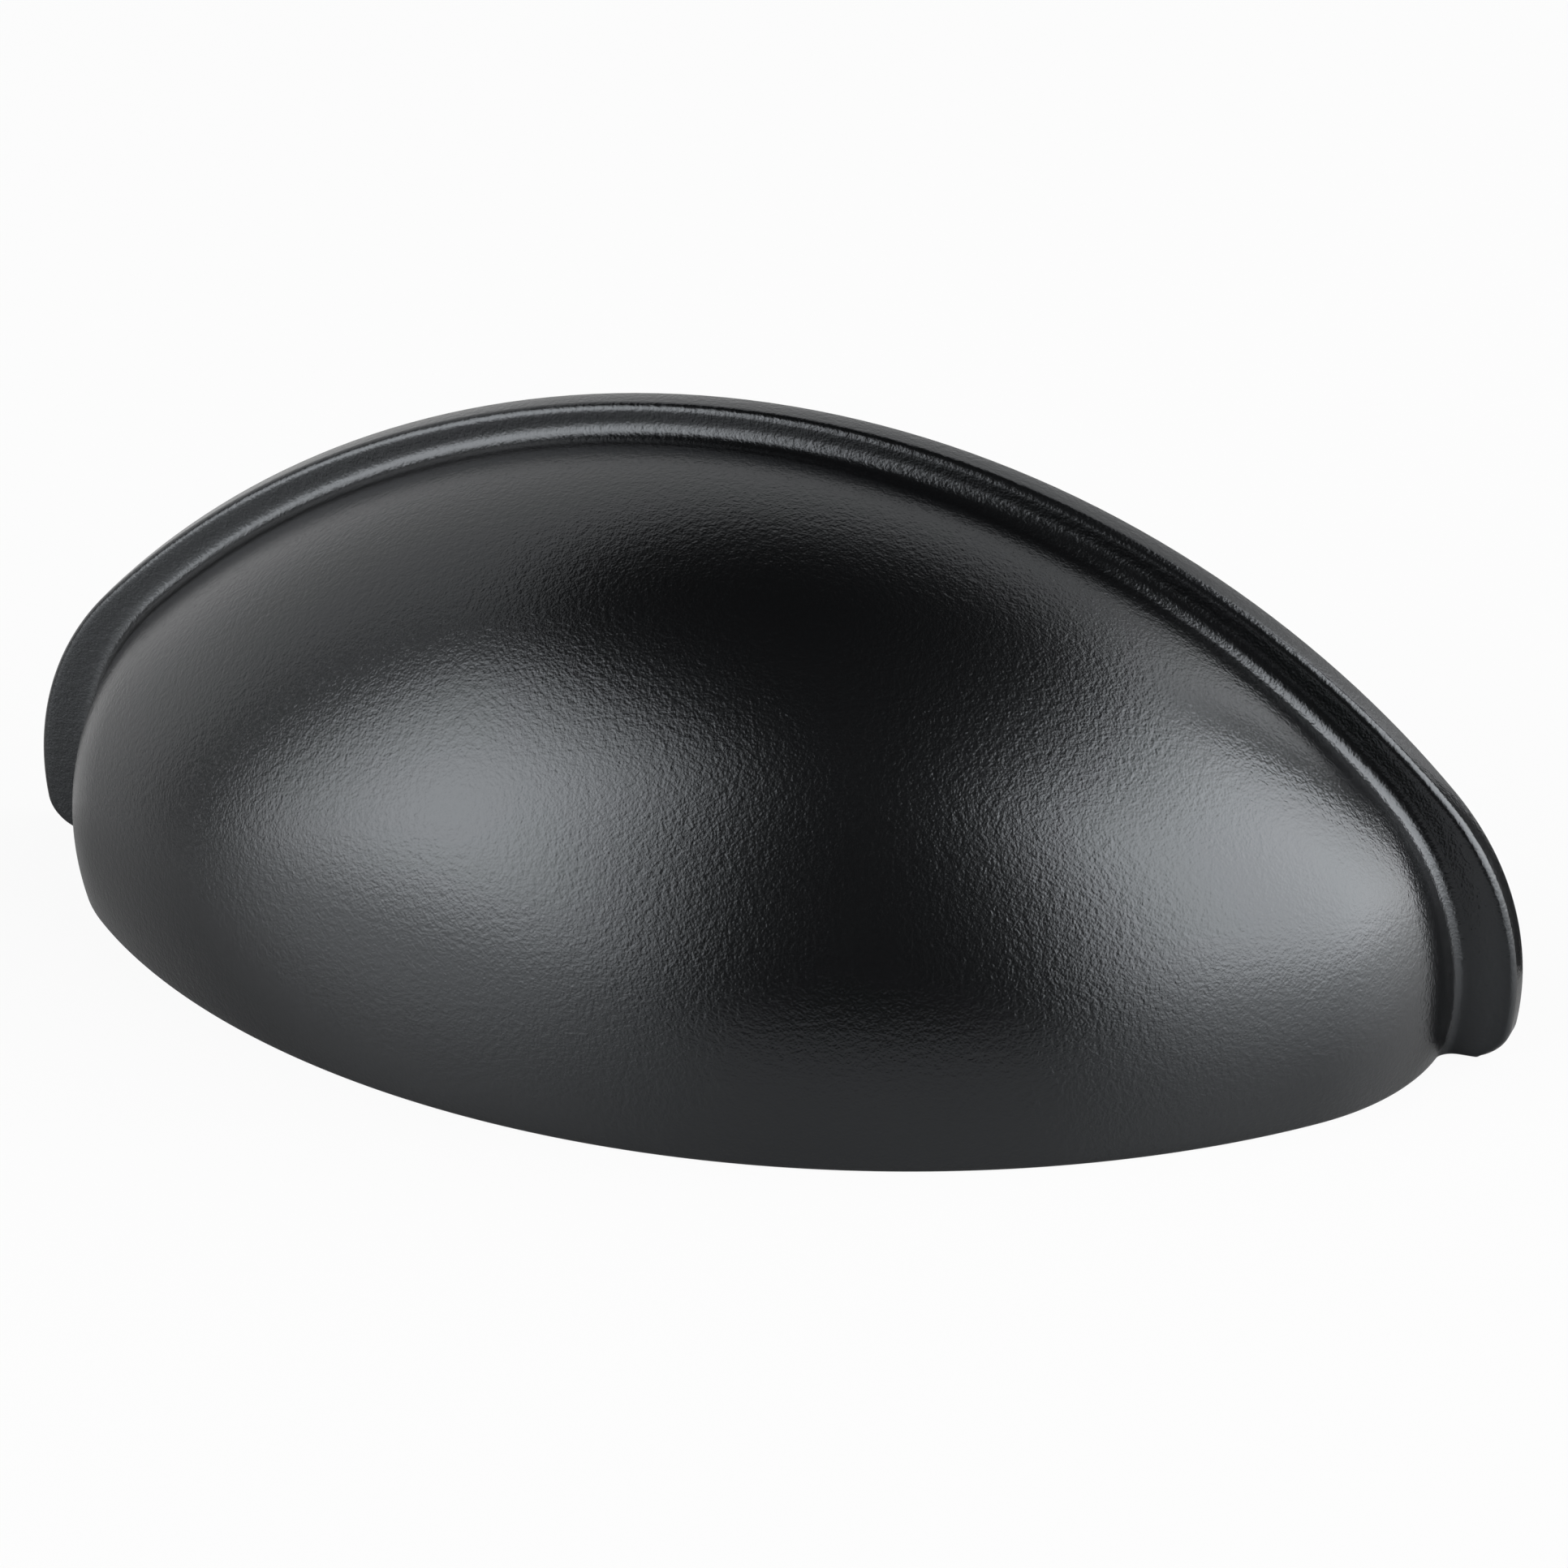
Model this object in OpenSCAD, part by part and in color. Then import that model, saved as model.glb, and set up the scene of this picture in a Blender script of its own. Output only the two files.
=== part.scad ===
// Cup pull for a drawer or cabinet door, one zinc die casting.
// It is drawn on the wall plane: x runs along the pull, y up the wall, z out of the wall towards the hand.
// The last step stands that drawing upright, with the back on the plane Y = 0 and the hood in front, at -Y.
// The origin is halfway between the two screw holes, on the back.

/* [Hood] */
// Length of the hood where it springs from the flange
hood_length = 85.8; // [84:0.1:96]
// Rise of the hood above its turning axis, which is also its reach in front of the flange
hood_rise = 27.7; // [24:0.1:28.5]
// Radius of the two round ends of the hood
hood_end_radius = 16.8; // [16:0.1:20]
// Drop of the open lip below the turning axis
lip_drop = 4.7; // [2:0.1:4.8]
// Thickness of the cast wall
wall = 2; // [1.4:0.1:3]

/* [Flange] */
// Width of the flange at its two ears, outside the hood
ear_width = 3.6; // [2.6:0.1:6]
// Width of the flange at the top of the arch, outside the hood
crown_width = 2; // [1.8:0.1:5]
// Radius of the two round ends of the flange
ear_radius = 16.7; // [13:0.1:20]
// Thickness of the flange
flange_thickness = 2; // [1.4:0.1:3]
// Whether the flange's front edge and the root of the hood are rounded
rounds = true;
// Radius of the flange's soft front edge
edge_radius = 0.5; // [0.2:0.05:0.8]
// Radius of the round at the root of the hood, where it springs from the flange
root_radius = 1.1; // [0.6:0.05:1.2]
// Radius of the lower corner of each ear
corner_radius = 0.9; // [0.4:0.1:1.8]

/* [Screw posts] */
// Distance between the two screw holes
hole_spacing = 64; // [54:0.5:68]
// Height of the screw holes above the lip
hole_height = 11; // [8:0.1:13]
// Diameter of each post at the back
post_diameter = 7.6; // [6:0.1:9]
// Draft angle of each post, with which it leaves the mould
post_draft = 1.5; // [0.5:0.1:3]
// Diameter of each hole before its thread is cut
tap_diameter = 3.3; // [2.5:0.1:4.5]
// Depth of each hole along its full diameter
tap_depth = 10; // [6:0.5:12]
// Angle of the drill's point
drill_point = 118; // [90:1:140]
// Width of the bevel at the mouth of each hole
tap_bevel = 0.4; // [0.2:0.05:0.8]

/* [Hollow] */
// Width by which the opening through the flange is eased outside the hollow of the hood
mouth_ease = 0.15; // [0.05:0.05:0.5]

/* [Hidden] */
$fn = 128;
// Length by which a cutting shape runs past what it cuts
past = 1;
// Arcs that follow each other overlap by this height, over this angle, so that they make one solid
lap = 0.02;
lap_angle = 6;
// The same for the round at the root, and how far that round bites into the hood and the flange
root_lap = 0.15;
root_lap_angle = 12;
root_bite = 0.03;

// An oval is [half length, rise, end radius]: two round ends centred on the turning axis, and a flatter arc
// over the top that runs smoothly into both.
hood_oval = [hood_length / 2, hood_rise, hood_end_radius];
hollow_oval = [for (size = hood_oval) size - wall];
mouth_oval = [for (size = hollow_oval) size + mouth_ease];
// The posts end at this oval, in the middle of the hood's wall
seat_oval = [for (size = hood_oval) size - wall / 2];
flange_oval = [hood_length / 2 + ear_width, hood_rise + crown_width, ear_radius];
function end_centre(oval) = oval[0] - oval[2];
function top_radius(oval, lap = lap) =
    let (end = oval[2] - lap) (end_centre(oval)^2 + oval[1]^2 - end^2) / (2 * (oval[1] - end));
function top_centre(oval, lap = lap) = oval[1] - top_radius(oval, lap);
function join_angle(oval, lap = lap) = atan2(-top_centre(oval, lap), end_centre(oval));

hole_level = hole_height - lip_drop;
reach = hood_rise + flange_thickness;

// Part of a disc between two angles.
module sector(radius, from, to) {
    far = 2 * radius;
    intersection() {
        circle(radius);
        polygon([[0, 0], for (angle = [from, (from + to) / 2, to]) far * [cos(angle), sin(angle)]]);
    }
}

// Both ends of an oval, from straight below the axis to just past the join with the top arc.
module oval_ends(oval) {
    for (side = [0, 1]) mirror([side, 0]) translate([end_centre(oval), 0])
        sector(oval[2], -90, join_angle(oval) + lap_angle);
}

module oval_top(oval) {
    join = join_angle(oval);
    translate([0, top_centre(oval)]) sector(top_radius(oval), join, 180 - join);
}

// An oval down past the lip.
module open_oval(oval) {
    span = end_centre(oval) + past;
    oval_ends(oval);
    oval_top(oval);
    translate([-span, -lip_drop - past]) square([2 * span, lip_drop + 2 * past]);
}

// Upper half of an oval, standing on the axis.
module half_oval(oval) {
    intersection() {
        open_oval(oval);
        translate([-oval[0], 0]) square([2 * oval[0], oval[1]]);
    }
}

// A section that stands on the turning axis, turned forward from straight up.
// The axis lies on the flange's front face.
module turned(angle) {
    translate([0, 0, flange_thickness]) rotate([90, 0, 90])
        rotate_extrude(angle = angle) rotate(-90) children();
}

// A section carried along an oval: the first child along the top arc, the second along the two end arcs.
module along_oval(oval, lap = lap, lap_angle = lap_angle) {
    join = join_angle(oval, lap);
    translate([0, top_centre(oval, lap)]) rotate(join) rotate_extrude(angle = 180 - 2 * join) children(0);
    for (side = [0, 1]) mirror([side, 0, 0]) translate([end_centre(oval), 0])
        rotate(-90) rotate_extrude(angle = 90 + join + lap_angle) children(1);
}

// Half section of the flange out to its soft front edge.
module flange_section(radius) {
    square([radius, flange_thickness - edge_radius]);
    square([radius - edge_radius, flange_thickness]);
    translate([radius - edge_radius, flange_thickness - edge_radius]) circle(edge_radius);
}

// What comes off the lower corner of an ear: all outside a circle that touches the lip's plane
// and the ear's end.
module corner_cut() {
    level = corner_radius - lip_drop;
    along = sqrt((ear_radius + lap - corner_radius)^2 - level^2);
    lean = atan2(level, along);
    translate([end_centre(flange_oval) + along, level, -past])
        linear_extrude(flange_thickness + 2 * past) difference() {
            polygon(2 * corner_radius * [[0, 0], [0, -1], [1, -1], [cos(lean), sin(lean)]]);
            circle(corner_radius);
        }
}

module flange() {
    difference() {
        if (rounds) along_oval(flange_oval) {
            flange_section(top_radius(flange_oval));
            flange_section(ear_radius);
        }
        else linear_extrude(flange_thickness) open_oval(flange_oval);
        translate([0, 0, -past]) linear_extrude(flange_thickness + 2 * past) open_oval(mouth_oval);
        for (side = [0, 1]) mirror([side, 0, 0]) corner_cut();
    }
}

// Section of the round at the root, from the middle of the hood's wall to where it runs out on the flange.
module root_section(radius) {
    lean = root_radius^2 / (2 * hood_end_radius);
    centre = [radius + root_radius - lean - root_bite, flange_thickness + root_radius - root_bite];
    start = [radius - wall / 2, flange_thickness / 4];
    difference() {
        translate(start) square(centre - start);
        translate(centre) circle(root_radius);
    }
}

module root() {
    along_oval(hood_oval, root_lap, root_lap_angle) {
        root_section(top_radius(hood_oval, root_lap));
        root_section(hood_end_radius);
    }
}

// The hood reaches back into half of the flange's thickness.
module hood() {
    intersection() {
        turned(360) difference() {
            half_oval(hood_oval);
            half_oval(hollow_oval);
        }
        translate([-hood_length, -hood_length, flange_thickness / 2])
            cube([2 * hood_length, 2 * hood_length, reach]);
    }
}

module at_holes() {
    for (side = [-1, 1]) translate([side * hole_spacing / 2, hole_level, 0]) children();
}

// Posts that widen from the back to their seats in the hood's wall.
module posts() {
    back_radius = post_diameter / 2;
    intersection() {
        at_holes() cylinder(h = reach, r1 = back_radius, r2 = back_radius + reach * tan(post_draft));
        turned(360) half_oval(seat_oval);
    }
}

module tapped_hole() {
    radius = tap_diameter / 2;
    translate([0, 0, -past]) cylinder(h = tap_depth + past, r = radius);
    translate([0, 0, tap_depth]) cylinder(h = radius / tan(drill_point / 2), r1 = radius, r2 = 0);
    translate([0, 0, -past]) cylinder(h = tap_bevel + past, r1 = radius + tap_bevel + past, r2 = radius);
}

// All that lies below the plane of the lip.
module below_lip() {
    translate([-hood_length, -lip_drop - hood_length, -past])
        cube([2 * hood_length, hood_length, reach + 2 * past]);
}

module cup_pull() {
    color("#26272a") rotate([90, 0, 0]) translate([0, -hole_level, 0]) difference() {
        union() {
            flange();
            if (rounds) root();
            hood();
            posts();
        }
        at_holes() tapped_hole();
        below_lip();
    }
}

cup_pull();
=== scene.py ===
# %% [markdown]
# A cup pull for a drawer is one thin casting: an oval dome, open below for the fingers, on a narrow
# arched flange. Two posts inside the dome take the screws that come through the drawer front. The lesson
# builds the dome and flange from a few circle arcs, adds the threaded posts, paints both with a black
# powder coat, and lights them like a product on a white table.

# %% Frame
import math
import bmesh
import bpy
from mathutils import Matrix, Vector


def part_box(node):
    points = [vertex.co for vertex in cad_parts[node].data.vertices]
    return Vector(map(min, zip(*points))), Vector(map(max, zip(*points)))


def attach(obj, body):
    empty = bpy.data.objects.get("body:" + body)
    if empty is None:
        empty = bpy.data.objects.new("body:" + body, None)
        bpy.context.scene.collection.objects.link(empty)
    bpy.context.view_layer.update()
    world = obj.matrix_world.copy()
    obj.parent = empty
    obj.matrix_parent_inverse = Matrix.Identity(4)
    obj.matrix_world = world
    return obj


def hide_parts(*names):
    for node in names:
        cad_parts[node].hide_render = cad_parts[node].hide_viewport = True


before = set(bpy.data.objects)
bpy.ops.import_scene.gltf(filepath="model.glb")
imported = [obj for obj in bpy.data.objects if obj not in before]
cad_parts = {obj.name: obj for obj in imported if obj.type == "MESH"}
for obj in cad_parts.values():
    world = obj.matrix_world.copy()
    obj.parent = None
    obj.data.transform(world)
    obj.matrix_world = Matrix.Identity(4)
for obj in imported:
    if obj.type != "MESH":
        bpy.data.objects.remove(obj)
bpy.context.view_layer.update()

# %% [markdown]
# All sizes are in millimetres and are the casting's own: the dome is an oval turned about its long axis,
# and that axis lies on the front face of the flange. The small radii are those of the edges, which
# casting and coating leave soft.

# %% Sizes
SIZES = {
    "Hood length": 85.8,
    "Hood rise": 27.7,
    "Hood end radius": 16.8,
    "Lip drop": 4.7,
    "Wall": 2.0,
    "Ear width": 3.6,
    "Crown width": 2.0,
    "Ear radius": 16.7,
    "Flange thickness": 2.0,
    "Edge radius": 0.5,
    "Corner radius": 1.9,
    "Root radius": 1.05,
    "Lip radius": 0.2,
    "Back radius": 0.3,
    "Mouth ease": 0.15,
    "Hollow start": 0.4,
    "Hole level": 6.3,
}
MILLIMETRE = 0.001
FULL_TURN = 2.0 * math.pi
HALF_TURN = math.pi
QUARTER_TURN = math.pi / 2
print("sizes of the casting:", len(SIZES))

# %% [markdown]
# Geometry Nodes can work out a shape from formulas, but a formula of forty Math nodes is hard to read. A
# small class lets the script write the formula as plain arithmetic and makes one Math node for each
# operation. The same tree could be wired by hand in the node editor. It would only take longer.

# %% Formulas made of nodes
def fill(tree, slots, values):
    """Puts each value into its slot: a formula as a link, a plain number as the slot's own value."""
    for slot, value in zip(slots, values):
        if isinstance(value, Formula):
            tree.links.new(value.socket, slot)
        else:
            slot.default_value = value


class Formula:
    """A number that the node tree works out at every point of a surface."""

    def __init__(self, tree, socket):
        self.tree = tree
        self.socket = socket

    def step(self, operation, *others):
        node = self.tree.nodes.new("ShaderNodeMath")
        node.operation = operation
        fill(self.tree, node.inputs, (self,) + others)
        return Formula(self.tree, node.outputs[0])

    def of(self, number):
        """A formula for this number, in the same tree."""
        if isinstance(number, Formula):
            return number
        node = self.tree.nodes.new("ShaderNodeValue")
        node.outputs[0].default_value = number
        return Formula(self.tree, node.outputs[0])

    def between(self, low, high):
        return self.step("MAXIMUM", low).step("MINIMUM", high)

    def __add__(self, other):
        return self.step("ADD", other)

    def __sub__(self, other):
        return self.step("SUBTRACT", other)

    def __rsub__(self, other):
        return self.of(other).step("SUBTRACT", self)

    def __mul__(self, other):
        return self.step("MULTIPLY", other)

    __rmul__ = __mul__

    def __truediv__(self, other):
        return self.step("DIVIDE", other)

    def __neg__(self):
        return self.step("MULTIPLY", -1.0)


def root(value):
    return value.step("SQRT")


def sine(value):
    return value.step("SINE")


def cosine(value):
    return value.step("COSINE")


def arc_sine(value):
    return value.step("ARCSINE")


def choose(test, when_true, when_false):
    node = test.tree.nodes.new("GeometryNodeSwitch")
    node.input_type = "FLOAT"
    test.tree.links.new(test.socket, node.inputs["Switch"])
    for name, value in (("True", when_true), ("False", when_false)):
        test.tree.links.new(test.of(value).socket, node.inputs[name])
    return Formula(test.tree, node.outputs[0])


def mix(start, end, share):
    return start + (end - start) * share


print("a formula can add, take away, multiply, divide and choose")

# %% [markdown]
# A tree takes the sizes as named inputs. Its geometry passes from node to node: a grid is placed by
# formula, points are moved, and a value can be kept with each point and recalled further on. Each helper
# adds one such node, so that the later cells read as a list of steps.

# %% Steps of a tree
def node_tree(name, sizes):
    """A Geometry Nodes tree with one named input for each size, and those inputs as formulas."""
    tree = bpy.data.node_groups.new(name, "GeometryNodeTree")
    tree.interface.new_socket("Geometry", in_out="OUTPUT", socket_type="NodeSocketGeometry")
    for title, value in sizes.items():
        entry = tree.interface.new_socket(title, in_out="INPUT", socket_type="NodeSocketFloat")
        entry.default_value = value
    tree.interface.new_socket("Coat", in_out="INPUT", socket_type="NodeSocketMaterial")
    source = tree.nodes.new("NodeGroupInput")
    values = {title: Formula(tree, source.outputs[title]) for title in sizes}
    return tree, values, source.outputs["Coat"]


def vector(tree, parts):
    node = tree.nodes.new("ShaderNodeCombineXYZ")
    fill(tree, node.inputs, parts)
    return node.outputs[0]


def parted(tree, socket):
    """The three parts of a vector, as formulas."""
    node = tree.nodes.new("ShaderNodeSeparateXYZ")
    tree.links.new(socket, node.inputs[0])
    return [Formula(tree, node.outputs[axis]) for axis in "XYZ"]


def position(tree):
    return parted(tree, tree.nodes.new("GeometryNodeInputPosition").outputs[0])


def moved(tree, geometry, place, selection=None):
    node = tree.nodes.new("GeometryNodeSetPosition")
    tree.links.new(geometry, node.inputs["Geometry"])
    tree.links.new(vector(tree, place), node.inputs["Position"])
    if selection is not None:
        tree.links.new(selection, node.inputs["Selection"])
    return node.outputs[0]


def stored(tree, geometry, title, value):
    node = tree.nodes.new("GeometryNodeStoreNamedAttribute")
    node.data_type = "FLOAT_VECTOR"
    node.domain = "POINT"
    node.inputs["Name"].default_value = title
    tree.links.new(geometry, node.inputs["Geometry"])
    tree.links.new(value, node.inputs["Value"])
    return node.outputs[0]


def recalled(tree, title):
    node = tree.nodes.new("GeometryNodeInputNamedAttribute")
    node.data_type = "FLOAT_VECTOR"
    node.inputs["Name"].default_value = title
    return parted(tree, node.outputs["Attribute"])


def surface(tree, columns, rows, place, keep=None):
    """A grid whose points go where place(u, v) says, u and v running from 0 to 1. What keep(u, v) says is
    kept with each point under the name reach."""
    grid = tree.nodes.new("GeometryNodeMeshGrid")
    grid.inputs["Vertices X"].default_value = columns
    grid.inputs["Vertices Y"].default_value = rows
    grid_x, grid_y, _ = position(tree)
    u = grid_x + 0.5
    v = grid_y + 0.5
    mesh = grid.outputs["Mesh"]
    if keep is not None:
        mesh = stored(tree, mesh, "reach", vector(tree, (keep(u, v), 0.0, 0.0)))
    return moved(tree, mesh, place(u, v))


def through(tree, kind, geometry):
    """Passes geometry through one more node."""
    node = tree.nodes.new(kind)
    tree.links.new(geometry, node.inputs[0])
    return node


def joined(tree, pieces):
    node = tree.nodes.new("GeometryNodeJoinGeometry")
    for piece in reversed(pieces):
        tree.links.new(piece, node.inputs[0])
    return node.outputs[0]


MERGE_DISTANCE = 0.000002


def merged(tree, pieces):
    """The pieces as one mesh, with the points that their borders share made one."""
    node = through(tree, "GeometryNodeMergeByDistance", joined(tree, pieces))
    node.inputs["Distance"].default_value = MERGE_DISTANCE
    return node.outputs[0]


def end_of_tree(tree, geometry, material_socket):
    """Smooth shading, real geometry and the coat: what every tree here ends in."""
    smooth = through(tree, "GeometryNodeSetShadeSmooth", geometry)
    real = through(tree, "GeometryNodeRealizeInstances", smooth.outputs[0])
    painted = through(tree, "GeometryNodeSetMaterial", real.outputs[0])
    tree.links.new(material_socket, painted.inputs["Material"])
    result = tree.nodes.new("NodeGroupOutput")
    tree.links.new(painted.outputs[0], result.inputs[0])


print("points closer than", MERGE_DISTANCE, "metres are made one")

# %% [markdown]
# A tree's result hangs on a modifier. The export wants plain meshes, so the tree is run on an empty
# object and what it makes is kept as a mesh of its own. Applying the modifier by operator would do the
# same, but it depends on what is selected.

# %% Plain mesh from a tree
def baked(name, tree, sizes, coat):
    """Runs a tree on an empty object and keeps the result as a plain mesh, its faces pointing outwards."""
    holder = bpy.data.objects.new(name + "_holder", bpy.data.meshes.new(name + "_holder"))
    bpy.context.scene.collection.objects.link(holder)
    modifier = holder.modifiers.new("shape", "NODES")
    modifier.node_group = tree
    for entry in tree.interface.items_tree:
        if entry.in_out == "INPUT":
            modifier[entry.identifier] = coat if entry.name == "Coat" else sizes[entry.name]
    depsgraph = bpy.context.evaluated_depsgraph_get()
    mesh = bpy.data.meshes.new_from_object(holder.evaluated_get(depsgraph), depsgraph=depsgraph)
    bpy.data.objects.remove(holder)
    mesh.name = name
    for title in [entry.name for entry in mesh.attributes if entry.name.startswith(("border", "reach"))]:
        mesh.attributes.remove(mesh.attributes[title])
    work = bmesh.new()
    work.from_mesh(mesh)
    bmesh.ops.recalc_face_normals(work, faces=work.faces)
    open_edges = sum(1 for edge in work.edges if len(edge.link_faces) != 2)
    volume = work.calc_volume(signed=True)
    work.to_mesh(mesh)
    work.free()
    piece = bpy.data.objects.new(name, mesh)
    bpy.context.scene.collection.objects.link(piece)
    print(name, "faces", len(mesh.polygons), "open edges", open_edges, "volume cm3", round(volume * 1e6, 3))
    return piece


# %% [markdown]
# The outline of the dome and the outline of the flange are ovals of the same kind: two round ends
# centred on the axis and a flatter arc over the top that runs smoothly into both. Such an oval could be
# drawn with curve handles, but three arcs are what a pattern maker would scribe, and every point on them
# has a formula by the direction it faces.

# %% The three-arc oval
CROWDING = 0.7


def crowded(u):
    """The share of the way along the arch, with the columns closer together near the two ears."""
    return u - sine(u * FULL_TURN) * (CROWDING / FULL_TURN)


class Oval:
    """An oval from its half length, its rise above the axis and the radius of its two ends."""

    def __init__(self, half, rise, end):
        self.end = end
        self.end_centre = half - end
        self.top = (self.end_centre * self.end_centre + rise * rise - end * end) / (2.0 * (rise - end))
        self.top_centre = rise - self.top
        self.join = (-self.top_centre).step("ARCTAN2", self.end_centre)

    def first_angle(self, cut, offset=0.0):
        """The direction faced where the end arc meets a level this far below the axis."""
        return -arc_sine(cut / (self.end + offset))

    def angle(self, u, first):
        return first + crowded(u) * (HALF_TURN - 2.0 * first)

    def on_top(self, angle):
        """Whether this direction belongs to the arc over the top."""
        away = (angle - QUARTER_TURN).step("ABSOLUTE")
        return away.step("LESS_THAN", QUARTER_TURN - self.join)

    def point(self, u, cut, offset=0.0):
        """A point on the oval, offset outwards, from the right-hand cut over the top to the left."""
        angle = self.angle(u, self.first_angle(cut, offset))
        top = self.on_top(angle)
        side = cosine(angle).step("SIGN")
        radius = choose(top, self.top, self.end) + offset
        x = choose(top, 0.0, side * self.end_centre) + radius * cosine(angle)
        z = choose(top, self.top_centre, 0.0) + radius * sine(angle)
        return x, z

    def radius_at(self, x):
        """Radius of the turned dome at a place along the axis."""
        along = x.step("ABSOLUTE")
        beyond = along - self.end_centre
        flat = self.top_centre + root(self.top * self.top - along * along)
        round_end = root(self.end * self.end - beyond * beyond)
        before_join = along.step("LESS_THAN", self.end_centre + self.end * cosine(self.join))
        return choose(before_join, flat, round_end)

    def depth(self, x, z):
        """How far the turned dome stands in front of the axis."""
        radius = self.radius_at(x)
        return root((radius * radius - z * z).step("MAXIMUM", 0.0))

    def seat(self, u, cut, height):
        """A point of the dome at a height in front of the axis, where a rounded root can start."""
        small = root(self.end * self.end - height * height)
        angle = self.angle(u, -arc_sine(cut / small))
        top = self.on_top(angle)
        side = cosine(angle).step("SIGN")
        lean = self.end - small
        x = choose(top, (self.top - lean) * cosine(angle), side * self.end_centre + small * cosine(angle))
        radius = self.radius_at(x)
        z = choose(top, root(radius * radius - height * height), small * sine(angle))
        return x, z


def hollow_oval(size):
    """The oval of the inside, smaller than the hood by the wall."""
    return Oval(
        size["Hood length"] / 2 - size["Wall"],
        size["Hood rise"] - size["Wall"],
        size["Hood end radius"] - size["Wall"],
    )


print("an oval is three arcs, and each of its points follows from one angle")

# %% [markdown]
# The casting's surface is one band that runs along the arch from the right ear to the left ear. Across
# the band come the dome, the rounded root, the face of the flange, its soft edge, the back, and the
# hollow on the inside. Solidify could thicken a sheet, but it would give every edge the same corner.
# Here each stretch of the section is a grid placed by formula, and the grids share their border points,
# so that they merge into one skin.

# %% Ovals of the casting
tree, size, coat_input = node_tree("cast hood and flange", SIZES)
hood = Oval(size["Hood length"] / 2, size["Hood rise"], size["Hood end radius"])
hollow = hollow_oval(size)
rim = Oval(
    size["Hood length"] / 2 + size["Ear width"],
    size["Hood rise"] + size["Crown width"],
    size["Ear radius"],
)
cut = size["Lip drop"] - size["Lip radius"]
face = -size["Flange thickness"]


def placed(x, z, y):
    """A place in the drawing of the arch, moved to the origin between the screw holes."""
    return x * MILLIMETRE, y * MILLIMETRE, (z - size["Hole level"]) * MILLIMETRE


print("ovals of the casting: hood, hollow and rim")

# %% [markdown]
# The dome is the hood's oval turned about the axis. Its rows run from the foot, where it springs from
# the flange, down to the lip, and they crowd towards the foot, where the dome is steepest. The root is a
# quarter round from there out to the flange. The inside of the hood is a second, smaller dome.

# %% The dome and its root
def dome(oval, start, height):
    """The turned dome from its lip to its foot."""

    def place(u, v):
        foot_x, foot_z = start(u)
        small = root(oval.end * oval.end - height * height)
        corner = oval.end_centre + root(small * small - cut * cut)
        lip_x = corner * cosine(crowded(u) * HALF_TURN)
        share = 1.0 - cosine((1.0 - v) * QUARTER_TURN)
        x = mix(foot_x, lip_x, share)
        z = mix(foot_z, -cut, share)
        return placed(x, z, face - oval.depth(x, z))

    return place


def outer_foot(u):
    return hood.seat(u, cut, size["Root radius"])


def inner_foot(u):
    return hollow.seat(u, cut, size["Hollow start"])


def root_line(u):
    """Where the round at the root runs out on the face of the flange."""
    radius = size["Root radius"]
    lean = hood.end - root(hood.end * hood.end - radius * radius)
    return hood.point(u, cut, radius - lean)


def root_round(u, v):
    high_x, high_z = outer_foot(u)
    low_x, low_z = root_line(u)
    turn = v * QUARTER_TURN
    x = mix(low_x, high_x, cosine(turn))
    z = mix(low_z, high_z, cosine(turn))
    return placed(x, z, face - size["Root radius"] * (1.0 - sine(turn)))


def inside(u, v):
    return dome(hollow, inner_foot, size["Hollow start"])(u, 1.0 - v)


print("stretches of the hood: dome, root and inside")

# %% [markdown]
# The flange is flat in front and behind. Its front edge has a clear round that catches a line of light,
# and the back edge a smaller one. Below each ear the outline is drawn in along a circle, so that the
# corner is round. A Bevel modifier would need the edges picked out first, and here each round is a
# stretch of its own.

# %% The flange
def rim_point(u, offset):
    """A point of the flange's outline, drawn in where the lower corner of the ear is rounded."""
    x, z = rim.point(u, cut, offset)
    corner = size["Corner radius"]
    below = (corner - size["Lip drop"] - z).step("MAXIMUM", 0.0)
    drawn_in = corner - root(corner * corner - below * below)
    return x - x.step("SIGN") * drawn_in, z


def flange_face(u, v):
    near_x, near_z = root_line(u)
    far_x, far_z = rim_point(u, -size["Edge radius"])
    return placed(mix(near_x, far_x, v), mix(near_z, far_z, v), face)


def front_edge(u, v):
    radius = size["Edge radius"]
    turn = v * QUARTER_TURN
    x, z = rim_point(u, radius * (sine(turn) - 1.0))
    return placed(x, z, face + radius * (1.0 - cosine(turn)))


def outer_wall(u, v):
    x, z = rim_point(u, 0.0 * v)
    return placed(x, z, mix(face + size["Edge radius"], -size["Back radius"], v))


def back_edge(u, v):
    radius = size["Back radius"]
    turn = v * QUARTER_TURN
    x, z = rim_point(u, radius * (cosine(turn) - 1.0))
    return placed(x, z, radius * (sine(turn) - 1.0))


def back_face(u, v):
    far_x, far_z = rim_point(u, -size["Back radius"])
    near_x, near_z = hollow.point(u, cut, size["Mouth ease"] + size["Back radius"])
    return placed(mix(far_x, near_x, v), mix(far_z, near_z, v), 0.0 * v)


def mouth_edge(u, v):
    radius = size["Back radius"]
    turn = v * QUARTER_TURN
    x, z = hollow.point(u, cut, size["Mouth ease"] + radius * (1.0 - sine(turn)))
    return placed(x, z, radius * (cosine(turn) - 1.0))


def mouth_wall(u, v):
    near_x, near_z = hollow.point(u, cut, size["Mouth ease"])
    far_x, far_z = inner_foot(u)
    return placed(
        mix(near_x, far_x, v),
        mix(near_z, far_z, v),
        mix(-size["Back radius"], face - size["Hollow start"], v),
    )


print("stretches of the flange: face, front edge, wall, back edge, back, mouth edge and mouth wall")

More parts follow.
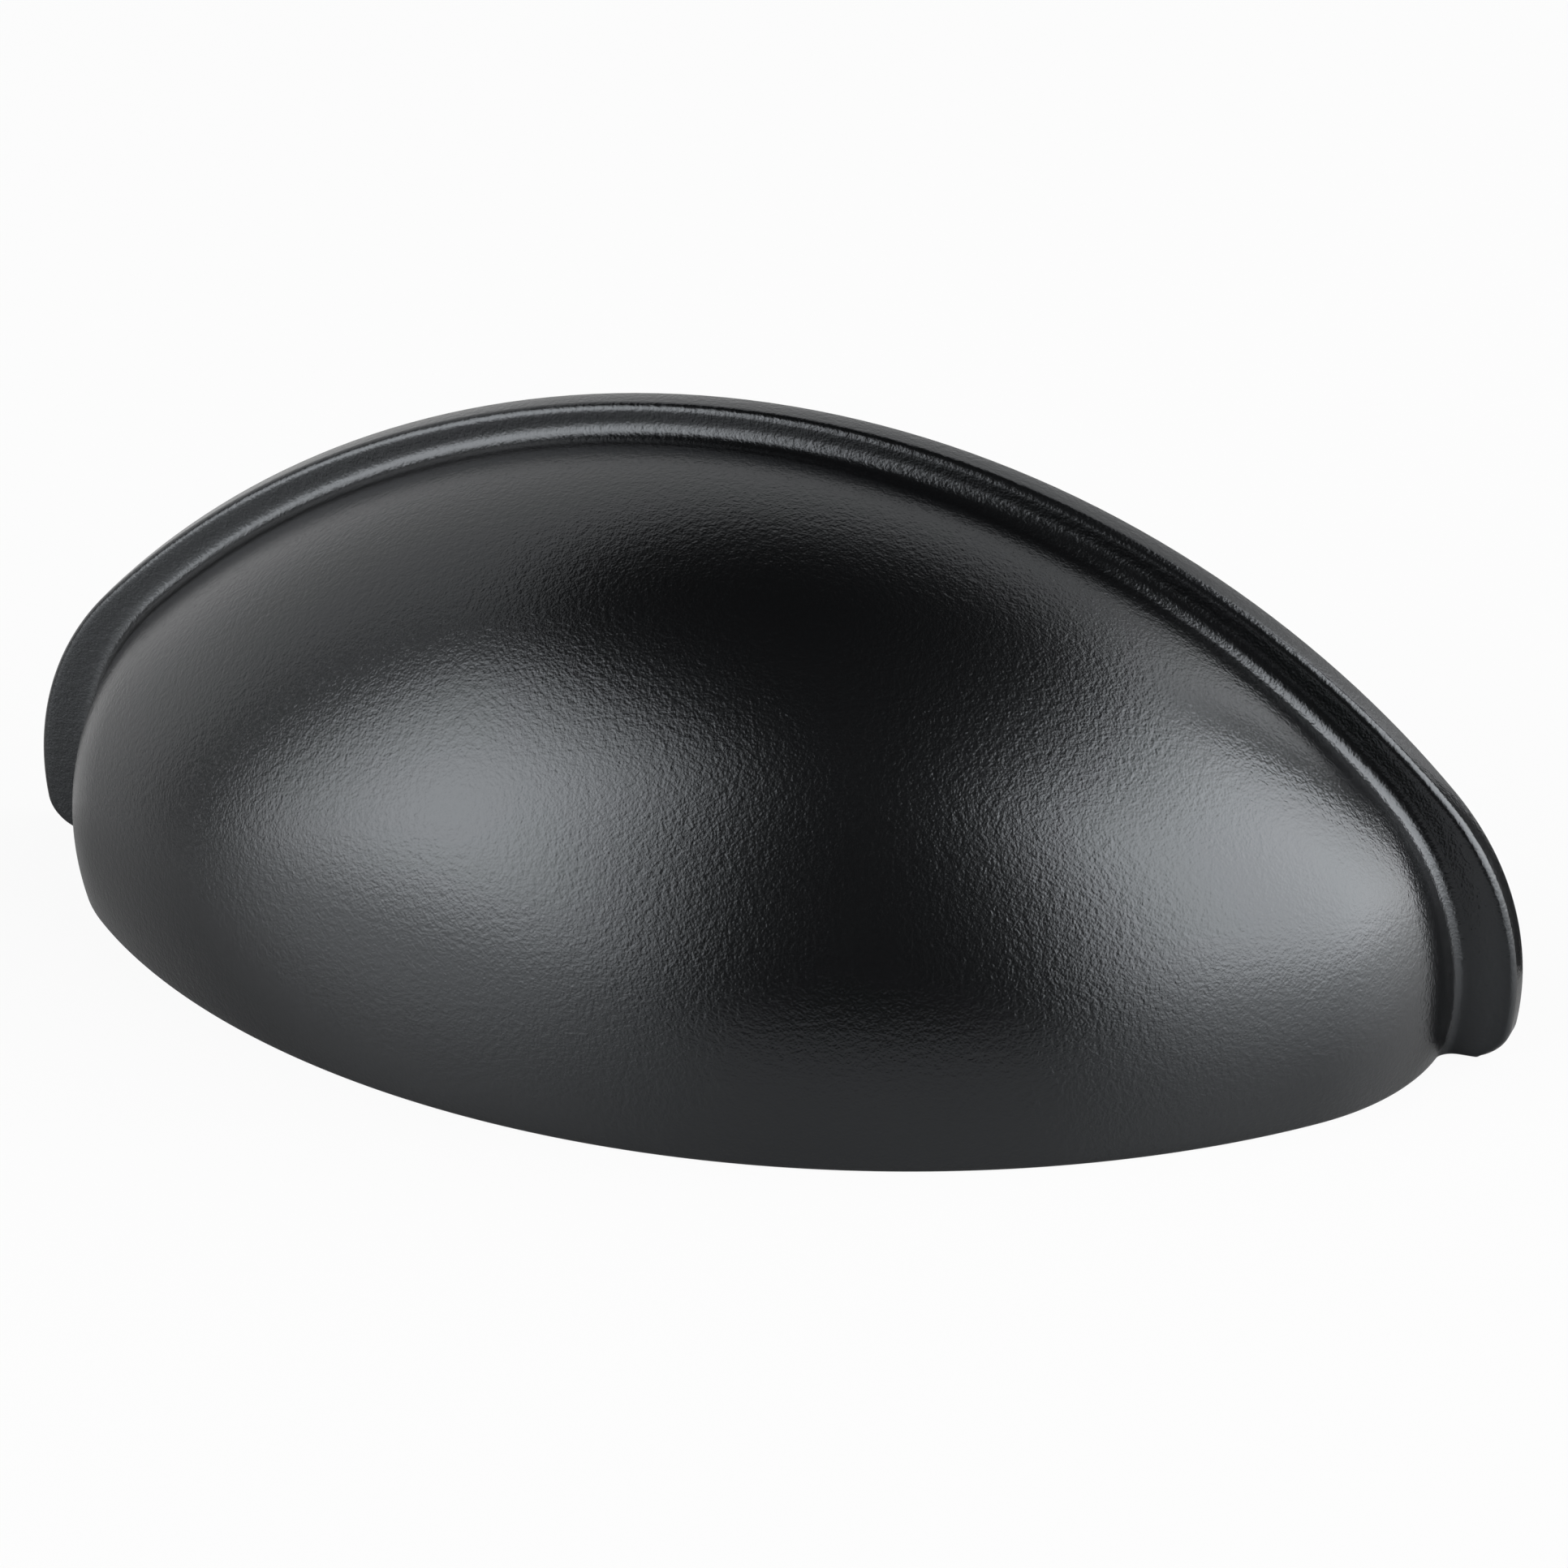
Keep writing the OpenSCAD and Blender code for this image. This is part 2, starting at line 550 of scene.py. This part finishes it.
# %% [markdown]
# The table below names each stretch in its order across the section, with the rows it gets: many where
# the surface curves, few where it is flat. All have the same columns along the arch, so their borders
# match point for point and merging closes the seams.

# %% The band of the casting
COLUMNS = 261
STRETCHES = (
    (44, dome(hood, outer_foot, size["Root radius"])),
    (9, root_round),
    (4, flange_face),
    (8, front_edge),
    (3, outer_wall),
    (5, back_edge),
    (4, back_face),
    (5, mouth_edge),
    (3, mouth_wall),
    (36, inside),
)
band = merged(tree, [surface(tree, COLUMNS, rows, place) for rows, place in STRETCHES])
band = through(tree, "GeometryNodeFlipFaces", band).outputs[0]
print("stretches across the band:", len(STRETCHES), "with", COLUMNS, "columns along the arch")

# %% [markdown]
# The band is open along the lip and under both ears, all at one level. Its open border is a single
# closed loop, so the lip is finished by extruding that loop a few times round a quarter turn and filling
# what is left flat. A Bevel modifier could round the lip too, but it pinches where the columns run
# together at the corners of the dome.

# %% The rounded lip
LIP_STEPS = 4
band = stored(tree, band, "border place", tree.nodes.new("GeometryNodeInputPosition").outputs[0])
band = stored(tree, band, "border normal", tree.nodes.new("GeometryNodeInputNormal").outputs[0])
place_x, place_y, place_z = recalled(tree, "border place")
normal_x, normal_y, normal_z = recalled(tree, "border normal")
level_length = root(normal_x * normal_x + normal_y * normal_y)
slope = -normal_z
turn_radius = size["Lip radius"] * MILLIMETRE / (1.0 - slope)
neighbours = tree.nodes.new("GeometryNodeInputMeshEdgeNeighbors")
border = Formula(tree, neighbours.outputs["Face Count"]).step("LESS_THAN", 1.5).socket
for number in range(1, LIP_STEPS + 1):
    lip = tree.nodes.new("GeometryNodeExtrudeMesh")
    lip.mode = "EDGES"
    tree.links.new(band, lip.inputs["Mesh"])
    tree.links.new(border, lip.inputs["Selection"])
    lip.inputs["Offset Scale"].default_value = 0.0
    first_turn = arc_sine(slope)
    turn = mix(first_turn, QUARTER_TURN, number / LIP_STEPS)
    inset = turn_radius * (cosine(first_turn) - cosine(turn))
    new_place = (
        place_x - inset * normal_x / level_length,
        place_y - inset * normal_y / level_length,
        place_z - turn_radius * (sine(turn) - slope),
    )
    band = moved(tree, lip.outputs["Mesh"], new_place, lip.outputs["Top"])
    border = lip.outputs["Top"]
loop = through(tree, "GeometryNodeMeshToCurve", band)
tree.links.new(border, loop.inputs["Selection"])
filled = through(tree, "GeometryNodeFillCurve", loop.outputs[0])
fill_x, fill_y, _ = position(tree)
lip_level = -(size["Lip drop"] + size["Hole level"]) * MILLIMETRE
lip_face = moved(tree, filled.outputs[0], (fill_x, fill_y, lip_level))
end_of_tree(tree, merged(tree, [band, lip_face]), coat_input)
hood_tree = tree
print("nodes in the tree of the casting:", len(hood_tree.nodes))

# %% [markdown]
# The finish is a black powder coat: a satin film with the slight ripple called orange peel, about a
# third of a millimetre from crest to crest, over a finer grain. Painting it into an image would fix its
# size to one picture. Noise on Object coordinates keeps its scale on every side of the part. The ripple
# and the grain are only microns high, so they are bumped, and a slow cloud makes the sheen a little
# uneven.

# %% The film of powder
FILM = {"Ripple scale": 2700.0, "Grain scale": 6500.0, "Cloud scale": 60.0, "Grain share": 0.8}
FINE_DETAIL = 1.0
CLOUD_DETAIL = 2.0


def group_of_nodes(name, inputs, outputs):
    group = bpy.data.node_groups.new(name, "ShaderNodeTree")
    for title, value in inputs.items():
        entry = group.interface.new_socket(title, in_out="INPUT", socket_type="NodeSocketFloat")
        entry.default_value = value
    for title in outputs:
        group.interface.new_socket(title, in_out="OUTPUT", socket_type="NodeSocketFloat")
    return group, group.nodes.new("NodeGroupInput"), group.nodes.new("NodeGroupOutput")


def noise(group, coordinates, scale, detail):
    node = group.nodes.new("ShaderNodeTexNoise")
    group.links.new(coordinates, node.inputs["Vector"])
    group.links.new(scale, node.inputs["Scale"])
    node.inputs["Detail"].default_value = detail
    return Formula(group, node.outputs["Fac"])


def powder_film():
    """Height of the film's ripple and grain, and a slow cloud for how even the film is."""
    group, source, result = group_of_nodes("powder film", FILM, ("Height", "Cloud"))
    place = group.nodes.new("ShaderNodeTexCoord").outputs["Object"]
    ripple = noise(group, place, source.outputs["Ripple scale"], FINE_DETAIL)
    grain = noise(group, place, source.outputs["Grain scale"], FINE_DETAIL)
    height = ripple + grain * Formula(group, source.outputs["Grain share"])
    cloud = noise(group, place, source.outputs["Cloud scale"], CLOUD_DETAIL)
    group.links.new(height.socket, result.inputs["Height"])
    group.links.new(cloud.socket, result.inputs["Cloud"])
    return group


film = powder_film()
print("film of powder:", FILM)

# %% [markdown]
# The coat itself is one Principled shader. Its colour is nearly black, because almost all that the eye
# sees on such a part is the sheen. A grey base with less sheen would look flat and would not darken
# where the room is dark. The sheen has a faint cool tint.

# %% The powder coat
COAT_COLOUR = (0.0015, 0.00155, 0.0017, 1.0)
COAT_ROUGHNESS = 0.23
ROUGHNESS_SPREAD = 0.02
SHEEN_LEVEL = 0.5
SHEEN_TINT = (0.90, 0.95, 1.0, 1.0)
FILM_STRENGTH = 1.0
FILM_HEIGHT = 0.000023


def powder_coat(name):
    material = bpy.data.materials.new(name)
    material.use_nodes = True
    tree = material.node_tree
    shader = tree.nodes["Principled BSDF"]
    shader.inputs["Base Color"].default_value = COAT_COLOUR
    shader.inputs["Specular IOR Level"].default_value = SHEEN_LEVEL
    shader.inputs["Specular Tint"].default_value = SHEEN_TINT
    group = tree.nodes.new("ShaderNodeGroup")
    group.node_tree = film
    cloud = Formula(tree, group.outputs["Cloud"])
    rough = cloud * (2.0 * ROUGHNESS_SPREAD) + (COAT_ROUGHNESS - ROUGHNESS_SPREAD)
    tree.links.new(rough.socket, shader.inputs["Roughness"])
    bump = tree.nodes.new("ShaderNodeBump")
    bump.inputs["Strength"].default_value = FILM_STRENGTH
    bump.inputs["Distance"].default_value = FILM_HEIGHT
    tree.links.new(group.outputs["Height"], bump.inputs["Height"])
    tree.links.new(bump.outputs["Normal"], shader.inputs["Normal"])
    return material


coat = powder_coat("black powder coat")
print("material:", coat.name)

# %% [markdown]
# Now the tree of the casting is run once with the real sizes. The mesh rides on the part's only body and
# takes the place of the plain solid.

# %% The casting
pull = baked("cup_pull_casting", hood_tree, SIZES, coat)
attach(pull, "root")
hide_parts("cup_pull")

# %% [markdown]
# Inside the dome stand two posts, with a slight draft so that they leave the mould, and each has a blind
# hole with a machine thread. The two are alike, so Geometry Nodes make one and set it on two points. A
# post could be a plain cylinder sunk into the wall, but a casting has a round there: each point of a
# post keeps how far it follows the dome, and that share lets the foot run out into the wall.

# %% Sizes of the posts
POST_SIZES = {
    "Hole spacing": 64.0,
    "Post radius": 3.8,
    "Foot radius": 4.1,
    "Foot round": 1.1,
    "Foot sink": 0.6,
    "End round": 0.3,
    "Bevel radius": 2.15,
    "Bevel depth": 0.5,
    "Core radius": 1.65,
    "Thread height": 0.34,
    "Pitch": 0.7,
    "Thread end": 8.7,
    "Hole depth": 10.0,
    "Point depth": 11.0,
}
ALL_SIZES = {**SIZES, **POST_SIZES}
tree, size, coat_input = node_tree("screw posts", ALL_SIZES)
print("sizes of the posts:", len(POST_SIZES))

# %% [markdown]
# Outside, a post is a ring of points whose radius and depth change from stretch to stretch. The foot
# follows the dome all the way, the end does not follow it at all, and the side between them takes a
# growing share.

# %% Outside of a post
def ring(u, radius, depth):
    """A point of a post about its own axis: depth is what it adds to its share of the way to the dome."""
    angle = u * FULL_TURN
    return (
        radius * cosine(angle) * MILLIMETRE,
        depth * MILLIMETRE,
        radius * sine(angle) * MILLIMETRE,
    )


def none_of_it(u, v):
    return v * 0.0


def all_of_it(u, v):
    return v * 0.0 + 1.0


def rest_of_it(u, v):
    return 1.0 - v


def cap(u, v):
    return ring(u, (size["Foot radius"] + size["Foot round"]) * v, size["Foot sink"] + 0.0 * v)


def foot(u, v):
    turn = (1.0 - v) * QUARTER_TURN
    radius = size["Foot radius"] + size["Foot round"] * (1.0 - cosine(turn))
    return ring(u, radius, (size["Foot round"] + size["Foot sink"]) * sine(turn) - size["Foot round"])


def side(u, v):
    share = 1.0 - v
    radius = mix(size["Post radius"], size["Foot radius"], share)
    return ring(u, radius, mix(size["End round"], -size["Foot round"], share))


def end_round(u, v):
    turn = v * QUARTER_TURN
    radius = size["Post radius"] - size["End round"] * (1.0 - cosine(turn))
    return ring(u, radius, size["End round"] * (1.0 - sine(turn)))


def end_face(u, v):
    return ring(u, mix(size["Post radius"] - size["End round"], size["Bevel radius"], v), 0.0 * v)


print("stretches outside a post: cap, foot, side, end round and end face")

# %% [markdown]
# The thread is a grid wound like a spring: once round, a row has moved by one pitch, so its last column
# meets the first column of the turn before. The grooves fade in and out over the first and the last
# turn. Bump could fake the thread, but then its edge would stay a plain circle.

# %% The threaded hole
ROWS_A_TURN = 6
THREAD_TURNS = 13
FLANK_STEEPNESS = 3.2
CREST_FLAT = 0.3


def bevel(u, v):
    return ring(u, mix(size["Bevel radius"], size["Core radius"], v), size["Bevel depth"] * v)


def thread(u, v):
    turns = v * THREAD_TURNS
    depth = size["Bevel depth"] + size["Pitch"] * (turns - u)
    depth = depth.between(size["Bevel depth"], size["Thread end"])
    start = ((depth - size["Bevel depth"]) / size["Pitch"]).step("MINIMUM", 1.0)
    stop = ((size["Thread end"] - depth) / size["Pitch"]).step("MINIMUM", 1.0)
    flank = (turns.step("PINGPONG", 0.5) * FLANK_STEEPNESS - CREST_FLAT).between(0.0, 1.0)
    return ring(u, size["Core radius"] + size["Thread height"] * flank * start * stop, depth)


def bore(u, v):
    return ring(u, size["Core radius"] + 0.0 * v, mix(size["Thread end"], size["Hole depth"], v))


def point(u, v):
    return ring(u, size["Core radius"] * (1.0 - v), mix(size["Hole depth"], size["Point depth"], v))


print("turns of the thread:", THREAD_TURNS)

# %% [markdown]
# One post is merged from its stretches and set on a line of two points, as far apart as the screw holes.
# Then every point moves forward by its share of the depth of the hollow at that place, so that the feet
# fit the dome wherever the holes are.

# %% The screw posts
POST_COLUMNS = 49
POST_STRETCHES = (
    (3, cap, all_of_it),
    (10, foot, all_of_it),
    (8, side, rest_of_it),
    (5, end_round, none_of_it),
    (3, end_face, none_of_it),
    (3, bevel, none_of_it),
    (THREAD_TURNS * ROWS_A_TURN + 1, thread, none_of_it),
    (3, bore, none_of_it),
    (4, point, none_of_it),
)
grids = [surface(tree, POST_COLUMNS, rows, place, keep) for rows, place, keep in POST_STRETCHES]
post = merged(tree, grids)
line = tree.nodes.new("GeometryNodeMeshLine")
line.inputs["Count"].default_value = 2
spacing = size["Hole spacing"] * MILLIMETRE
tree.links.new(vector(tree, (spacing * -0.5, 0.0, 0.0)), line.inputs["Start Location"])
tree.links.new(vector(tree, (spacing, 0.0, 0.0)), line.inputs["Offset"])
posts = through(tree, "GeometryNodeInstanceOnPoints", line.outputs["Mesh"])
tree.links.new(post, posts.inputs["Instance"])
posts = through(tree, "GeometryNodeRealizeInstances", posts.outputs[0]).outputs[0]
post_x, post_depth, post_z = position(tree)
reach = recalled(tree, "reach")[0]
wall_depth = hollow_oval(size).depth(post_x / MILLIMETRE, post_z / MILLIMETRE + size["Hole level"])
seat_depth = (size["Flange thickness"] + wall_depth) * MILLIMETRE
posts = moved(tree, posts, (post_x, -(post_depth + reach * seat_depth), post_z))
end_of_tree(tree, posts, coat_input)
posts_piece = baked("screw_posts", tree, ALL_SIZES, coat)
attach(posts_piece, "root")
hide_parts("cup_pull")

# %% [markdown]
# The pull rests on its lip on a plain white sweep: a round floor that curves up into a wall, so that no
# edge shows. A white picture ground could be had by flooding it with lamps, but that would wash out the
# black coat. Instead the sweep glows at strength 1 for the camera, and keeps a share of its real shading
# for the shadow. In reflections it glows behind the pull and is dark towards the camera, has a little
# gloss, and close to the pull shows its shading. From below it can be seen through, so that the hollow
# can be looked at.

# %% The white of the sweep
PAPER = (0.42, 0.42, 0.42, 1.0)
GLOW_SHARE = 0.93
FRONT_WHITE = 0.02
FRONT_DARK = -0.11
GLOSS_ROUGHNESS = 0.06
SHADED_RADIUS = 0.06
GLOWING_RADIUS = 0.14


def blended(tree, share, first, second):
    """A shader that goes from the first to the second as the share goes from 0 to 1."""
    node = tree.nodes.new("ShaderNodeMixShader")
    tree.links.new(share.socket, node.inputs["Fac"])
    tree.links.new(first.outputs[0], node.inputs[1])
    tree.links.new(second.outputs[0], node.inputs[2])
    return node


def sweep_material():
    material = bpy.data.materials.new("white sweep")
    material.use_nodes = True
    tree = material.node_tree
    tree.nodes.remove(tree.nodes["Principled BSDF"])
    path = tree.nodes.new("ShaderNodeLightPath")
    camera = Formula(tree, path.outputs["Is Camera Ray"])
    mirror = Formula(tree, path.outputs["Is Glossy Ray"])
    mirror = mirror.step("MAXIMUM", Formula(tree, path.outputs["Is Transmission Ray"]))
    across, along, _ = parted(tree, tree.nodes.new("ShaderNodeTexCoord").outputs["Object"])
    behind = ((along - FRONT_DARK) / (FRONT_WHITE - FRONT_DARK)).between(0.0, 1.0)
    out = root(across * across + along * along)
    far = ((out - SHADED_RADIUS) / (GLOWING_RADIUS - SHADED_RADIUS)).between(0.0, 1.0)
    fresnel = Formula(tree, tree.nodes.new("ShaderNodeFresnel").outputs[0])
    glowing = (1.0 - fresnel) * far
    paper = tree.nodes.new("ShaderNodeBsdfDiffuse")
    paper.inputs["Color"].default_value = PAPER
    gloss = tree.nodes.new("ShaderNodeBsdfGlossy")
    gloss.inputs["Roughness"].default_value = GLOSS_ROUGHNESS
    glow = tree.nodes.new("ShaderNodeEmission")
    tree.links.new((camera + mirror * behind).socket, glow.inputs["Strength"])
    clear = tree.nodes.new("ShaderNodeBsdfTransparent")
    below = Formula(tree, tree.nodes.new("ShaderNodeNewGeometry").outputs["Backfacing"])
    bare = blended(tree, mirror * fresnel / (1.0 - glowing), paper, gloss)
    white = blended(tree, camera * GLOW_SHARE + mirror * glowing, bare, glow)
    whole = blended(tree, below, white, clear)
    tree.links.new(whole.outputs[0], tree.nodes["Material Output"].inputs["Surface"])
    return material


white_sweep = sweep_material()
print("material:", white_sweep.name)

# %% [markdown]
# The sweep's shape is a profile carried round a circle. Screw would spin the profile too, but the list
# of corners is short, and its order sets which way the panels face: inwards, to the pull.

# %% The white sweep
FLOOR_RADIUS = 1.0
BEND_RADIUS = 0.3
BEND_STEPS = 12
WALL_TOP = 1.9
SWEEP_SIDES = 48
LIP_GAP = 0.00002


def sweep_profile():
    """The sweep from the edge of its floor to the top of its wall, as distances out and up in metres."""
    points = []
    for number in range(BEND_STEPS + 1):
        turn = QUARTER_TURN * number / BEND_STEPS
        points.append((FLOOR_RADIUS + BEND_RADIUS * math.sin(turn), BEND_RADIUS * (1 - math.cos(turn))))
    return points + [(FLOOR_RADIUS + BEND_RADIUS, WALL_TOP)]


floor_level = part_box("cup_pull")[0][2] - LIP_GAP
sweep_mesh = bpy.data.meshes.new("white_sweep")
corners = []
for out, up in sweep_profile():
    for number in range(SWEEP_SIDES):
        turn = FULL_TURN * number / SWEEP_SIDES
        corners.append((out * math.cos(turn), out * math.sin(turn), floor_level + up))
panels = [tuple(range(SWEEP_SIDES))]
for low in range(0, len(corners) - SWEEP_SIDES, SWEEP_SIDES):
    high = low + SWEEP_SIDES
    for number in range(SWEEP_SIDES):
        after = (number + 1) % SWEEP_SIDES
        panels.append((low + after, low + number, high + number, high + after))
sweep_mesh.from_pydata(corners, [], panels)
sweep_mesh.shade_smooth()
sweep_mesh.materials.append(white_sweep)
sweep = bpy.data.objects.new("white_sweep", sweep_mesh)
bpy.context.scene.collection.objects.link(sweep)
print("floor at", round(floor_level / MILLIMETRE, 3), "mm")

# %% [markdown]
# A black part on a white ground needs a dark edge, or its side melts into the ground that it mirrors. Here
# a strip of dark card stands behind the right ear as painted shade: only reflections see it, it casts no
# shadow, and it darkens the floor that the ear's side mirrors. So the ear's side turns dark, and the light
# line along its rounded front edge stands out.

# %% The card of painted shade
CARD_PLACE = 0.010
CARD_SIDES = (0.0475, 0.0560)
CARD_TOP = 0.045
# Painted shade: a nearly black sheet that only glossy rays see, standing for the shade on the floor behind
# the right ear.
SHADE_CARD_COLOUR = (0.01, 0.01, 0.01, 1.0)
CARD_ROUGHNESS = 0.9
card_mesh = bpy.data.meshes.new("painted_shade_card")
low_edge = [(place, CARD_PLACE, floor_level) for place in CARD_SIDES]
high_edge = [(place, CARD_PLACE, CARD_TOP) for place in reversed(CARD_SIDES)]
card_mesh.from_pydata(low_edge + high_edge, [], [(0, 1, 2, 3)])
card_material = bpy.data.materials.new("painted shade card")
card_material.use_nodes = True
card_shader = card_material.node_tree.nodes["Principled BSDF"]
card_shader.inputs["Base Color"].default_value = SHADE_CARD_COLOUR
card_shader.inputs["Roughness"].default_value = CARD_ROUGHNESS
card_mesh.materials.append(card_material)
card = bpy.data.objects.new("painted_shade_card", card_mesh)
card.visible_camera = False
card.visible_diffuse = False
card.visible_shadow = False
bpy.context.scene.collection.objects.link(card)
print("card beside the right ear, seen in reflections alone")

# %% [markdown]
# The dome shows two broad soft patches of light with a dark valley between them, where the camera
# stands. So the light is one soft box on each side, with a dark room above. A plain lamp has a hard edge
# that the satin coat would show. Each box is therefore four lamps one behind the other, so that it fades
# towards its edge.

# %% Lights
BOX_DISTANCE = 0.65
LAYER_GAP = 0.02
LEFT_LAYERS = ((-77, -8, 0, 58), (-71, -15, 0, 52), (-64, -23, 6, 46), (-55, -31, 12, 38))
LEFT_RADIANCE = 1.72
RIGHT_LAYERS = ((44, 150, 0, 60), (48, 134, 0, 55), (53, 122, 4, 50), (60, 110, 10, 44))
RIGHT_RADIANCE = 1.85


def standing_box(name, distance, start, stop, low, high, radiance):
    """One layer of a soft box, by the angles in degrees that it spans as seen from the pull: its bearings
    to the right of straight in front, and its lower and upper edge."""
    turn = math.radians((start + stop) / 2)
    bottom, top = (distance * math.tan(math.radians(angle)) for angle in (low, high))
    width = 2 * distance * math.tan(math.radians((stop - start) / 2))
    lamp = bpy.data.lights.new(name, "AREA")
    lamp.shape = "RECTANGLE"
    lamp.size = width
    lamp.size_y = top - bottom
    lamp.energy = radiance * math.pi * width * (top - bottom)
    holder = bpy.data.objects.new(name, lamp)
    holder.location = (
        distance * math.sin(turn),
        -distance * math.cos(turn),
        floor_level + (bottom + top) / 2,
    )
    inwards = Vector((-math.sin(turn), math.cos(turn), 0.0))
    holder.rotation_euler = inwards.to_track_quat("-Z", "Y").to_euler()
    bpy.context.scene.collection.objects.link(holder)


for name, layers, radiance in (
    ("left box", LEFT_LAYERS, LEFT_RADIANCE),
    ("right box", RIGHT_LAYERS, RIGHT_RADIANCE),
):
    for number, span in enumerate(layers):
        standing_box("%s layer %d" % (name, number), BOX_DISTANCE - number * LAYER_GAP, *span, radiance)

# %% [markdown]
# The room itself is almost dark, so that the top of the dome has something dark to mirror. The Standard
# view shows each colour as it is written. A filmic one would grey the white ground.

# %% The dim room
ROOM_COLOUR = (1.0, 1.0, 1.0, 1.0)
ROOM_LIGHT = 0.01
world = bpy.data.worlds.new("dim room")
world.use_nodes = True
background = world.node_tree.nodes["Background"]
background.inputs["Color"].default_value = ROOM_COLOUR
background.inputs["Strength"].default_value = ROOM_LIGHT
bpy.context.scene.world = world
bpy.context.scene.view_settings.view_transform = "Standard"
print("light of the room:", ROOM_LIGHT)

# %% [markdown]
# The camera stands to the right of the pull and above it, half a metre away with a long lens, so that
# the far ear is only a little smaller than the near one. The pull sits a little left of the middle,
# which a small lens shift gives.

# %% Camera
IMAGE_SIZE = 1932
FOCAL_PIXELS = 10576.0
AXIS_PIXEL = (877.97, 950.24)
SENSOR = 36.0
TURN_RIGHT = math.radians(19.676)
LOOK_DOWN = math.radians(26.087)
AIM = Vector((0.0, -0.010, 0.004))
CAMERA_DISTANCE = 0.5
NEAREST_SEEN = 0.01
back_to_camera = Vector((
    math.sin(TURN_RIGHT) * math.cos(LOOK_DOWN),
    -math.cos(TURN_RIGHT) * math.cos(LOOK_DOWN),
    math.sin(LOOK_DOWN),
))
lens = bpy.data.cameras.new("product camera")
lens.sensor_width = SENSOR
lens.lens = FOCAL_PIXELS * SENSOR / IMAGE_SIZE
lens.shift_x = (IMAGE_SIZE / 2 - AXIS_PIXEL[0]) / IMAGE_SIZE
lens.shift_y = (AXIS_PIXEL[1] - IMAGE_SIZE / 2) / IMAGE_SIZE
lens.clip_start = NEAREST_SEEN
camera = bpy.data.objects.new("product camera", lens)
camera.location = AIM + back_to_camera * CAMERA_DISTANCE
camera.rotation_euler = (-back_to_camera).to_track_quat("-Z", "Y").to_euler()
bpy.context.scene.collection.objects.link(camera)
bpy.context.scene.camera = camera
print("lens in mm:", round(lens.lens, 1))
